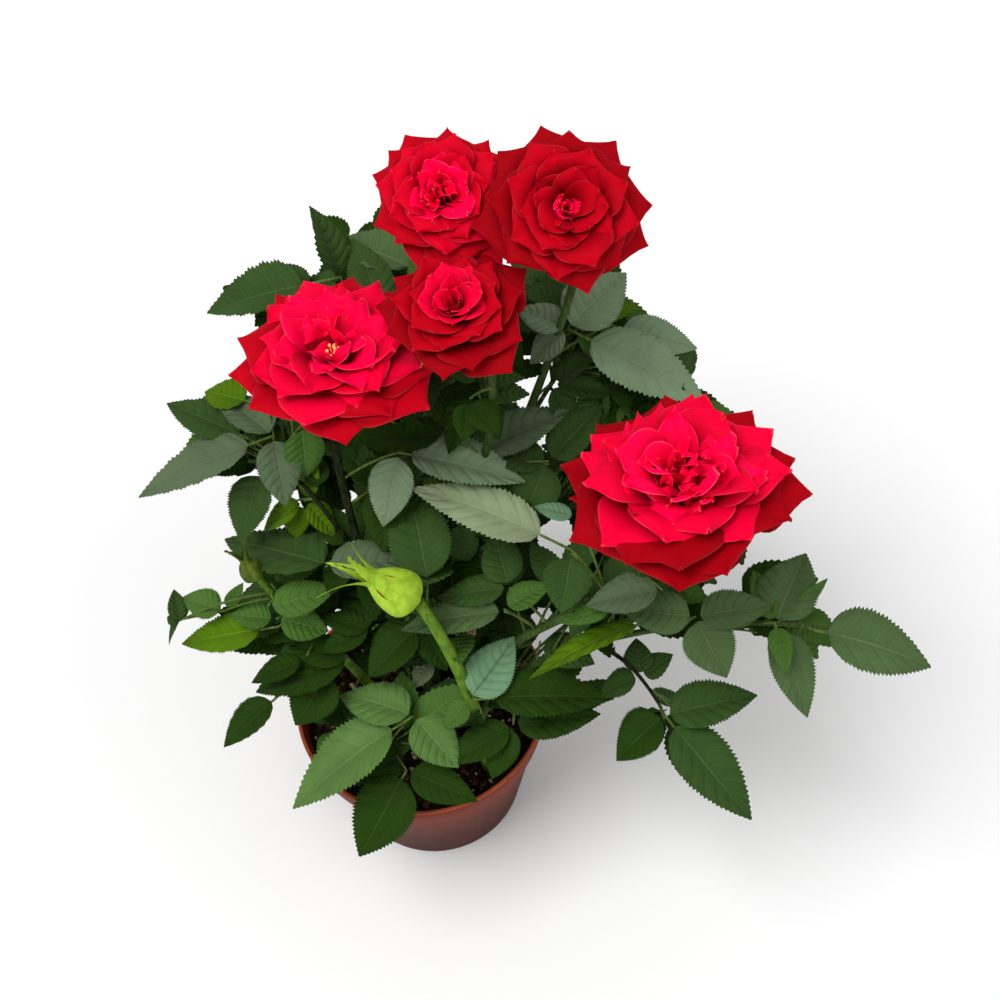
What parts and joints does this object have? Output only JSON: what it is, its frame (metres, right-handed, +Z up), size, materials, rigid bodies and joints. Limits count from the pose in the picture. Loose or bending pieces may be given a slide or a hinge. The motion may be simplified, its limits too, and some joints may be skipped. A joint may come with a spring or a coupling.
{
  "type": "potted rose bush",
  "caption": "Bushy rose plant with open red blooms, green buds and toothed leaves, growing from a round tapered plastic pot of soil.",
  "frame": {"origin": "middle of the pot's flat underside", "axes": "+Z up, -Y towards the side from which the plant is seen, +X to its right"},
  "size_m": [0.301, 0.222, 0.3425],
  "materials": {
    "pot": "terracotta-coloured moulded plastic, half matt",
    "soil": "damp dark potting mix with pale crumbs",
    "cane": "green bristly bark",
    "petals": "velvety scarlet petals",
    "bud": "soft green sepals",
    "foliage": "half-glossy toothed leaves"
  },
  "bodies": {
    "root": {"pot": "pot", "soil": "soil", "cane_back_left": "cane", "cane_back_right": "cane", "cane_middle": "cane", "cane_left": "cane", "cane_right": "cane", "cane_bud": "cane", "cane_small_bud": "cane", "cane_low_right": "cane", "cane_front": "cane", "cane_back": "cane", "cut_stub": "cane", "bough_left_upper": "cane", "bough_back_left": "cane", "bough_back_right": "cane", "bough_back_right_low": "cane", "bough_right_low": "cane", "bough_front_right": "cane", "bloom_back_left": "petals", "bloom_back_right": "petals", "bloom_middle": "petals", "bloom_left": "petals", "bloom_right": "petals", "bud_large": "bud", "bud_small": "bud", "leaves_centre": "foliage", "leaves_low_middle": "foliage", "leaves_upper": "foliage", "leaves_left_upper": "foliage", "leaves_left_lower": "foliage", "leaves_front": "foliage", "leaves_front_right": "foliage", "leaves_back_left": "foliage", "leaves_back_right": "foliage", "leaves_right_inner": "foliage", "leaves_right": "foliage", "leaves_right_tip": "foliage", "leaves_right_low": "foliage", "leaves_back_low": "foliage", "leaves_back_right_low": "foliage"}
  },
  "joints": []
}
